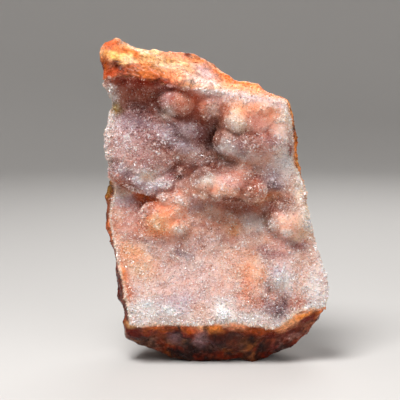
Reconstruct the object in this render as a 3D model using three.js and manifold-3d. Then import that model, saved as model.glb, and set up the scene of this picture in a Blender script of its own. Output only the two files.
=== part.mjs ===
// A hand specimen of botryoidal chalcedony, standing on its broken foot.
// One stone: a slab of chalcedony rind whose front is a lumpy, druse-covered hollow.
// Millimetres, +Z up, the druse faces -Y, and the origin is the middle of the foot's level.

import * as THREE from "three";
import { ImprovedNoise } from "three/addons/math/ImprovedNoise.js";
import { mergeVertices } from "three/addons/utils/BufferGeometryUtils.js";
import Module from "manifold-3d";

const wasm = await Module();
wasm.setup();

// Driving dimensions of the slab.
const STONE_HEIGHT = 104;
const STONE_WIDTH = 75;
const FRONT_MEAN = 12; // the druse face lies this far in front of the mid plane
const BACK_MEAN = 17; // and the back this far behind it
const COLUMNS = 26; // faces across, up and through the slab
const ROWS = 36;
const LAYERS = 8;
const GIRDLE_LAYER = 3; // the layer that carries the widest outline
const FOOT_FRONT = 11; // the girdle's depth in front of the mid plane, at the foot
const RIDGE_FRONT = 1; // and along the top ridge
const SIDE_FRONT = 5; // and half way up the sides

// Outlines that the slab is lofted through, each as four edge lines of [x, z].
// bottom and top run left to right, left and right run upwards, and their ends meet.
const DRUSE_EDGE = {
  bottom: [[-27.9, 13.6], [-23.8, 13.1], [-19.4, 13.8], [-14.6, 14.8], [-4.5, 14.2], [5.6, 14.8],
    [14.4, 13.7], [18.8, 12.5], [22.3, 14.4], [25.8, 17.5], [29.8, 18.9], [34.1, 19.6]],
  top: [[-35.5, 91.9], [-29.8, 93.4], [-23.5, 92.7], [-17.2, 91.1], [-10.9, 90], [-3.9, 88.7],
    [4.6, 88], [12.5, 86.7], [21.7, 84.9]],
  left: [[-27.9, 13.6], [-28.6, 18.9], [-30.7, 27.8], [-32.7, 38.5], [-33.9, 46.9], [-33.5, 50.7],
    [-32.1, 55.4], [-31.7, 58.8], [-32.4, 61.4], [-33.9, 64.6], [-34.9, 74.5], [-33.8, 78.7],
    [-31.1, 81.6], [-32.3, 86.1], [-34.3, 89.4], [-35.5, 91.9]],
  right: [[34.1, 19.6], [36.2, 21.8], [36.3, 26.6], [33.7, 34.3], [30.8, 42.8], [28.7, 50.9],
    [27.6, 57.5], [24.9, 63.9], [23.9, 70.5], [23.6, 78.9], [21.7, 84.9]],
};
const GIRDLE = {
  bottom: [[-28.8, 7.6], [-22.9, 4.8], [-14.7, 1], [-8, -1], [8.3, -1.4], [16.5, 0.4], [24.1, 4],
    [30, 8.2], [34.3, 14]],
  top: [[-37.1, 101.4], [-35.6, 103.4], [-31.4, 104.4], [-25.6, 102.4], [-17, 100.4], [-7.8, 99.6],
    [-1, 97], [5, 92.4], [12, 90.2], [18, 87.4], [24, 85]],
  left: [[-28.8, 7.6], [-30.2, 15], [-32.1, 24], [-33.9, 35], [-35.4, 44], [-35.6, 50], [-34.8, 56],
    [-33.4, 60.5], [-34, 66], [-34.8, 73], [-33.6, 78.4], [-31.6, 82], [-33.8, 88], [-36.8, 93],
    [-37.4, 98], [-37.1, 101.4]],
  right: [[34.3, 14], [36, 22], [33.8, 31], [31.2, 40], [29.3, 50], [28.4, 59], [26.8, 69], [26.2, 78],
    [24, 84.8]],
};
const BACK_EDGE = {
  bottom: [[-23, 8], [-17, 2], [-10, -1.6], [8, -1.8], [15, 0.6], [22, 6], [28, 14]],
  top: [[-30, 93], [-25, 96.5], [-18, 95], [-8, 93.4], [-1, 90], [6, 86], [13, 82.4], [19, 79]],
  left: [[-23, 8], [-25.6, 22], [-28, 36], [-30.4, 47], [-28.8, 60], [-30, 72], [-29, 82], [-30, 93]],
  right: [[28, 14], [30.4, 23], [28, 36], [24.6, 50], [23.4, 62], [22, 71], [19, 79]],
};

// Broad forms of the druse face: each swells or, below zero, hollows it by `rise`.
// turn is in degrees, from the x axis towards +Z, and a steeper form has a flatter top.
const FACE_FORMS = [
  { name: "top lip", x: -19.4, z: 94.6, across: 22, up: 5.4, turn: -9, rise: 8, steep: 1 },
  { name: "left wall", x: -33.8, z: 86.5, across: 2.6, up: 7, turn: 0, rise: 4, steep: 1 },
  { name: "top hollow", x: -23.2, z: 85.5, across: 10, up: 6, turn: -6, rise: -5, steep: 1 },
  { name: "left shelf", x: -26.1, z: 68.5, across: 13, up: 10.5, turn: -14, rise: 7, steep: 2 },
  { name: "middle hollow", x: -3.5, z: 70.5, across: 7, up: 9, turn: -20, rise: -6, steep: 1 },
  { name: "grey ridge", x: -12.7, z: 75.4, across: 12, up: 3.2, turn: -45, rise: 2.4, steep: 1 },
  { name: "right plateau", x: 13.6, z: 77.8, across: 12.4, up: 10.4, turn: -6, rise: 4.6, steep: 2.4 },
  { name: "middle roll", x: 4.6, z: 57.8, across: 13, up: 4.4, turn: -5, rise: 8.4, steep: 1.4 },
  { name: "roll tail", x: -15, z: 49.6, across: 12, up: 5.4, turn: 36, rise: 5, steep: 1 },
  { name: "shelf undercut", x: -24.2, z: 55.6, across: 8, up: 3.2, turn: -20, rise: -5.4, steep: 1 },
  { name: "roll undercut", x: 10.4, z: 49.5, across: 13, up: 3.2, turn: -12, rise: -5, steep: 1 },
  { name: "smoky pit", x: -6, z: 50.3, across: 3, up: 2.8, turn: 0, rise: -3.4, steep: 1 },
  { name: "right hollow", x: 17.7, z: 55.6, across: 4.6, up: 4.6, turn: 20, rise: -2.6, steep: 1 },
  { name: "right lobe bed", x: 23.4, z: 47.3, across: 8, up: 5.4, turn: 0, rise: 4.6, steep: 1.4 },
  { name: "lower slope", x: -0.2, z: 11.1, across: 60, up: 20, turn: 0, rise: 8.5, steep: 1 },
  { name: "left foot slope", x: -21.3, z: 38.2, across: 9, up: 9, turn: 0, rise: 2.2, steep: 1 },
  { name: "frosty bank", x: 20, z: 33.3, across: 8, up: 6, turn: 30, rise: 1.8, steep: 1.4 },
  { name: "grey dimple", x: 20.9, z: 21.8, across: 4.4, up: 5.4, turn: -20, rise: -2.4, steep: 1 },
  { name: "low right swell", x: 29.6, z: 27.5, across: 5, up: 7, turn: 12, rise: 1.6, steep: 1 },
  { name: "low left swell", x: -17.5, z: 21.8, across: 8, up: 5, turn: -12, rise: 1.6, steep: 1 },
  { name: "left margin", x: -36.7, z: 47.8, across: 5, up: 26, turn: 0, rise: -3, steep: 1 },
  { name: "right margin", x: 32.4, z: 57.5, across: 6, up: 34, turn: 8, rise: -3, steep: 1 },
];

// Botryoidal lobes that stand on the face: `proud` is how far each tip stands out of it.
// Those along the top lip, the shelf and the roll overhang what is below them.
const FACE_LOBES = [
  { x: -10.2, z: 91.3, across: 3.8, deep: 5, up: 3.2, proud: 0.2 },
  { x: -11.9, z: 84.7, across: 6.8, deep: 8, up: 6.4, proud: 4.8 },
  { x: -1.5, z: 82.8, across: 4.8, deep: 5.6, up: 4.6, proud: 3 },
  { x: 6.8, z: 78.9, across: 4.2, deep: 5, up: 4.4, proud: 2.8 },
  { x: 5.2, z: 71.8, across: 6, deep: 6.6, up: 4.8, proud: 3.8 },
  { x: 10.7, z: 72, across: 4.6, deep: 5.6, up: 4.2, proud: 2 },
  { x: 15.5, z: 82.6, across: 6, deep: 6, up: 4, proud: 1.2 },
  { x: 19.6, z: 74.3, across: 4.4, deep: 5, up: 6, proud: 1.4 },
  { x: -29.6, z: 63.5, across: 4.6, deep: 6.4, up: 4.6, proud: 1.6 },
  { x: -25.7, z: 60.6, across: 5, deep: 6.8, up: 4.2, proud: 2.4 },
  { x: -21.1, z: 58.8, across: 5, deep: 7, up: 4.2, proud: 3.4 },
  { x: -16.3, z: 59.2, across: 4.4, deep: 6.8, up: 4, proud: 3.2 },
  { x: -12.1, z: 61.4, across: 3.4, deep: 5, up: 3.2, proud: 1.2 },
  { x: -2.9, z: 59.2, across: 5.6, deep: 6, up: 4.4, proud: 1.8 },
  { x: 4, z: 57.7, across: 6.2, deep: 6.4, up: 4.4, proud: 1.2 },
  { x: 11.1, z: 56.3, across: 5.6, deep: 6, up: 4, proud: 1.2 },
  { x: -13.3, z: 53.2, across: 5.8, deep: 6, up: 4.6, proud: 1.6 },
  { x: -19.2, z: 47.4, across: 6.2, deep: 6, up: 5.2, proud: 1.4 },
  { x: -13.3, z: 44.9, across: 6.4, deep: 6, up: 4.4, proud: 1.3 },
  { x: 23, z: 46, across: 6.6, deep: 6.4, up: 5, proud: 2 },
  { x: 2.3, z: 16.8, across: 3.6, deep: 4, up: 3, proud: 1 },
];
const LOBE_DETAIL = 2; // subdivisions of a lobe's icosahedron

// Broad forms of the weathered back, in the same terms as the face's.
const BACK_FORMS = [
  { name: "upper left boss", x: -15, z: 78, across: 15, up: 12, turn: 20, rise: 3.4, steep: 1.6 },
  { name: "upper right boss", x: 9, z: 68, across: 12, up: 15, turn: -20, rise: 2.8, steep: 1.4 },
  { name: "waist", x: -8, z: 60, across: 20, up: 5, turn: 24, rise: -2.4, steep: 1 },
  { name: "left boss", x: -15, z: 48, across: 11, up: 13, turn: -10, rise: 2.8, steep: 1.4 },
  { name: "low boss", x: 4, z: 34, across: 18, up: 12, turn: -14, rise: 4.2, steep: 1.6 },
  { name: "right gully", x: 18, z: 50, across: 5, up: 16, turn: -24, rise: -2.6, steep: 1 },
  { name: "foot boss", x: -6, z: 12, across: 18, up: 9, turn: 8, rise: 3, steep: 1.4 },
];

// Shell-shaped chips out of the broken sides and back: the point that was struck on the whole
// stone, the way out of the stone there, the chip's radius of curvature and its greatest depth.
const CHIPS = [
  { struck: [-31, 3, 30], outward: [-1, 0.3, 0.05], radius: 32, depth: 3 },
  { struck: [-31, 7, 68], outward: [-1, 0.6, 0.1], radius: 24, depth: 3.6 },
  { struck: [-26, 14, 46], outward: [-0.7, 1, -0.1], radius: 26, depth: 3.8 },
  { struck: [-26, 13, 88], outward: [-0.6, 0.8, 0.4], radius: 22, depth: 4 },
  { struck: [28, 4, 60], outward: [1, 0.4, 0.15], radius: 30, depth: 3 },
  { struck: [31, 7, 27], outward: [1, 0.6, -0.1], radius: 24, depth: 3.6 },
  { struck: [22, 15, 64], outward: [0.7, 1, 0.1], radius: 24, depth: 4 },
  { struck: [-3, 8, 97], outward: [0.3, 0.7, 1], radius: 28, depth: 4 },
  { struck: [14, 11, 84], outward: [0.4, 0.8, 0.8], radius: 24, depth: 3.6 },
  { struck: [25, 13, 8], outward: [0.8, 0.8, -0.6], radius: 24, depth: 5 },
  { struck: [-22, 13, 6], outward: [-0.7, 0.8, -0.5], radius: 22, depth: 4.4 },
  { struck: [2, 19, 22], outward: [0.1, 1, -0.3], radius: 40, depth: 2.6 },
  { struck: [-4, 19, 66], outward: [0.1, 1, 0.2], radius: 34, depth: 2.4 },
];
const CHIP_DETAIL = 6;

const BACK_CROWN = 4; // the back falls off by this much from its middle to its edges
const BACK_LEAN = 3; // and from its foot to its top
const SIDE_SWELL = 2.6; // relief of the broken sides, at two sizes
const SIDE_ROUGHNESS = 1;
const FACE_ROUGHNESS = 0.7;
const SWELL_SIZE = 17;
const GRAIN_SIZE = 5;
const BELOW_FOOT = 20; // depth of the block that trims the foot flat

const noise = new ImprovedNoise();

function relief(x, y, z, size) {
  return noise.noise(x / size + 7.3, y / size + 3.1, z / size + 5.7);
}

// An edge line as a smooth curve that is read by its share of length.
function edgeCurve(line) {
  const points = line.map(([x, z]) => new THREE.Vector3(x, 0, z));
  return new THREE.CatmullRomCurve3(points, false, "centripetal");
}

// The inside of four edge lines, as a patch read at (s, t) from 0 to 1.
function outlinePatch(edges) {
  const [bottom, top, left, right] = [edges.bottom, edges.top, edges.left, edges.right].map(edgeCurve);
  const corner = (curve, end) => curve.getPointAt(end);
  return (s, t) => {
    const across = bottom.getPointAt(s).multiplyScalar(1 - t).addScaledVector(top.getPointAt(s), t);
    const upward = left.getPointAt(t).multiplyScalar(1 - s).addScaledVector(right.getPointAt(t), s);
    const corners = corner(bottom, 0).multiplyScalar((1 - s) * (1 - t))
      .addScaledVector(corner(bottom, 1), s * (1 - t))
      .addScaledVector(corner(top, 0), (1 - s) * t)
      .addScaledVector(corner(top, 1), s * t);
    return across.add(upward).sub(corners);
  };
}

// How far one broad form lifts the face at (x, z).
function lift(form, x, z) {
  const turn = THREE.MathUtils.degToRad(form.turn);
  const dx = x - form.x;
  const dz = z - form.z;
  const along = (dx * Math.cos(turn) + dz * Math.sin(turn)) / form.across;
  const over = (dz * Math.cos(turn) - dx * Math.sin(turn)) / form.up;
  return form.rise * Math.exp(-((along * along + over * over) ** form.steep));
}

// The druse face's distance in front of the mid plane.
function faceDepth(x, z) {
  const formed = FACE_FORMS.reduce((sum, form) => sum + lift(form, x, z), FRONT_MEAN);
  return formed + FACE_ROUGHNESS * relief(x, 0, z, GRAIN_SIZE);
}

// The back's distance behind the mid plane, where `rim` runs from 0 in its middle to 1 at its edges.
function backDepth(x, z, rim) {
  const plain = BACK_MEAN - BACK_CROWN * rim ** 3 - BACK_LEAN * z / STONE_HEIGHT;
  const formed = BACK_FORMS.reduce((sum, form) => sum + lift(form, x, z), plain);
  return formed + SIDE_ROUGHNESS * relief(x, BACK_MEAN, z, GRAIN_SIZE);
}

// The girdle's distance in front of the mid plane, from the foot up to the ridge.
function girdleDepth(z) {
  const low = THREE.MathUtils.smoothstep(z, 0, STONE_HEIGHT / 3);
  const high = THREE.MathUtils.smoothstep(z, STONE_HEIGHT / 2, STONE_HEIGHT);
  return THREE.MathUtils.lerp(THREE.MathUtils.lerp(FOOT_FRONT, SIDE_FRONT, low), RIDGE_FRONT, high);
}

// The slab: a box whose grid is carried onto the three outlines and given its relief.
function slabGeometry() {
  const box = new THREE.BoxGeometry(1, 1, 1, COLUMNS, LAYERS, ROWS);
  const druse = outlinePatch(DRUSE_EDGE);
  const girdle = outlinePatch(GIRDLE);
  const back = outlinePatch(BACK_EDGE);
  const girdleShare = GIRDLE_LAYER / LAYERS;
  const position = box.attributes.position;
  for (let i = 0; i < position.count; i++) {
    const s = position.getX(i) + 0.5;
    const through = position.getY(i) + 0.5;
    const t = position.getZ(i) + 0.5;
    const near = druse(s, t);
    near.y = -faceDepth(near.x, near.z);
    const middle = girdle(s, t);
    middle.y = -girdleDepth(middle.z);
    const far = back(s, t);
    far.y = backDepth(far.x, far.z, 2 * Math.max(Math.abs(s - 0.5), Math.abs(t - 0.5)));
    const inFront = through < girdleShare;
    const share = inFront ? through / girdleShare : (through - girdleShare) / (1 - girdleShare);
    const place = inFront ? near.clone().lerp(middle, share) : middle.clone().lerp(far, share);
    const between = Math.sin(Math.PI * share); // so that the three outlines stay true
    const push = between * (SIDE_SWELL * relief(place.x, place.y, place.z, SWELL_SIZE)
      + SIDE_ROUGHNESS * relief(place.x, place.y, place.z, GRAIN_SIZE));
    const outward = new THREE.Vector3(place.x, 0, place.z - STONE_HEIGHT / 2).normalize();
    place.addScaledVector(outward, push);
    position.setXYZ(i, place.x, place.y, place.z);
  }
  return box;
}

// A lobe: an ellipsoid sunk into the face until only its tip stands proud.
function lobeGeometry({ x, z, across, deep, up, proud }) {
  const ball = new THREE.IcosahedronGeometry(1, LOBE_DETAIL);
  ball.scale(across, deep, up);
  ball.translate(x, deep - proud - faceDepth(x, z), z);
  return ball;
}

// The ball that takes a chip out of the stone.
function chipGeometry({ struck, outward, radius, depth }) {
  const ball = new THREE.IcosahedronGeometry(radius, CHIP_DETAIL);
  const centre = new THREE.Vector3(...outward).normalize().multiplyScalar(radius - depth);
  centre.add(new THREE.Vector3(...struck));
  ball.translate(centre.x, centre.y, centre.z);
  return ball;
}

function belowFootGeometry() {
  const block = new THREE.BoxGeometry(2 * STONE_WIDTH, 2 * STONE_WIDTH, BELOW_FOOT);
  block.translate(0, 0, -BELOW_FOOT / 2);
  return block;
}

// A closed geometry as a solid that can be joined and cut.
function solidOf(geometry) {
  geometry.deleteAttribute("normal");
  geometry.deleteAttribute("uv");
  const merged = mergeVertices(geometry, 1e-4);
  return new wasm.Manifold(new wasm.Mesh({
    numProp: 3,
    vertProperties: merged.attributes.position.array,
    triVerts: new Uint32Array(merged.index.array),
  }));
}

function geometryOf(solid) {
  const mesh = solid.getMesh();
  const geometry = new THREE.BufferGeometry();
  geometry.setAttribute("position", new THREE.BufferAttribute(mesh.vertProperties, 3));
  geometry.setIndex(new THREE.BufferAttribute(mesh.triVerts, 1));
  geometry.computeVertexNormals();
  return geometry;
}

function chalcedonyMaterial() {
  return new THREE.MeshStandardMaterial({ color: 0xcf9a82, roughness: 0.45, metalness: 0 });
}

// The whole stone, moved so that its box is centred over the origin and its foot is at z = 0.
function chalcedony() {
  let stone = solidOf(slabGeometry());
  for (const lobe of FACE_LOBES) stone = stone.add(solidOf(lobeGeometry(lobe)));
  for (const chip of CHIPS) stone = stone.subtract(solidOf(chipGeometry(chip)));
  stone = stone.subtract(solidOf(belowFootGeometry()));
  const geometry = geometryOf(stone);
  geometry.computeBoundingBox();
  const centre = geometry.boundingBox.getCenter(new THREE.Vector3());
  const mesh = new THREE.Mesh(geometry, chalcedonyMaterial());
  mesh.name = "chalcedony";
  mesh.position.set(-centre.x, -centre.y, 0);
  return mesh;
}

const specimen = new THREE.Group();
specimen.add(chalcedony());

export default specimen;
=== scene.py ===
import math

import bmesh
import bpy
import numpy as np
from mathutils import Matrix, Vector, noise
from mathutils.bvhtree import BVHTree
from mathutils.kdtree import KDTree


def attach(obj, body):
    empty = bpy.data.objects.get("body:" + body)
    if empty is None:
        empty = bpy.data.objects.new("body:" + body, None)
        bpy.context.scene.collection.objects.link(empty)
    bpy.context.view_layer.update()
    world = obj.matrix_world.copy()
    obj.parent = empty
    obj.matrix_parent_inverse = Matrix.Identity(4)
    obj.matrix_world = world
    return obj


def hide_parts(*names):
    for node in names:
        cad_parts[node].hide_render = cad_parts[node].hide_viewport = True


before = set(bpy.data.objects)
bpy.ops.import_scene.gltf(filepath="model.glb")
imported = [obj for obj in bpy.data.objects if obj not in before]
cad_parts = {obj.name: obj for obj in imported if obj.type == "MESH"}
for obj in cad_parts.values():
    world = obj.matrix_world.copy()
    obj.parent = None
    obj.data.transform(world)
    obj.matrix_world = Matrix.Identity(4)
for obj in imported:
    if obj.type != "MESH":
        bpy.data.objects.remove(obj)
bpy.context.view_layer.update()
mm = 0.001
noise.seed_set(19)  # so that the noise is the same each time
slabMiddle = np.array((0.43, 0.47, 0)) * mm  # the places below are measured from here
print("frame loaded")


def linear(red, green, blue):
    return np.array([(level / 255) ** 2.2 for level in (red, green, blue)])


pigments = {  # red, green and blue, of 255
    "white": (244, 232, 226),
    "snow": (232, 212, 204),
    "cream": (248, 216, 194),
    "bone": (192, 164, 152),
    "frost": (222, 184, 176),
    "blush": (215, 168, 150),
    "dustyPink": (200, 154, 147),
    "peach": (228, 176, 154),
    "apricot": (240, 170, 142),
    "salmon": (228, 148, 116),
    "orange": (242, 152, 110),
    "clementine": (248, 170, 120),
    "coral": (214, 118, 80),
    "rose": (202, 134, 120),
    "terracotta": (186, 108, 86),
    "rust": (138, 36, 10),
    "sienna": (172, 88, 64),
    "umber": (108, 52, 38),
    "mauve": (158, 102, 98),
    "taupe": (162, 122, 110),
    "dusk": (158, 126, 128),
    "ash": (174, 138, 134),
    "lilac": (212, 186, 192),
    "smoke": (138, 110, 114),
    "slate": (110, 88, 96),
    "plum": (88, 52, 50),
    "olive": (128, 98, 40),
    "straw": (230, 180, 96),
    "custard": (250, 198, 148),
    "honey": (206, 150, 94),
    "shell": (238, 190, 160),
    "blossom": (210, 122, 94),
    "flame": (224, 116, 58),
    "brick": (188, 84, 46),
    "syrup": (144, 60, 14),
    "amber": (172, 84, 30),
    "carnelian": (138, 50, 20),
    "chestnut": (72, 28, 14),
    "matrix": (86, 56, 48),
    "heather": (118, 88, 98),
    "melon": (222, 156, 110),
    "copper": (206, 104, 48),
    "tar": (40, 16, 8),
    "ember": (250, 144, 64),
    "tan": (138, 98, 70),
    "ochre": (172, 116, 68),
    "garnet": (100, 24, 5),
}
pigments = {name: linear(*levels) for name, levels in pigments.items()}

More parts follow.
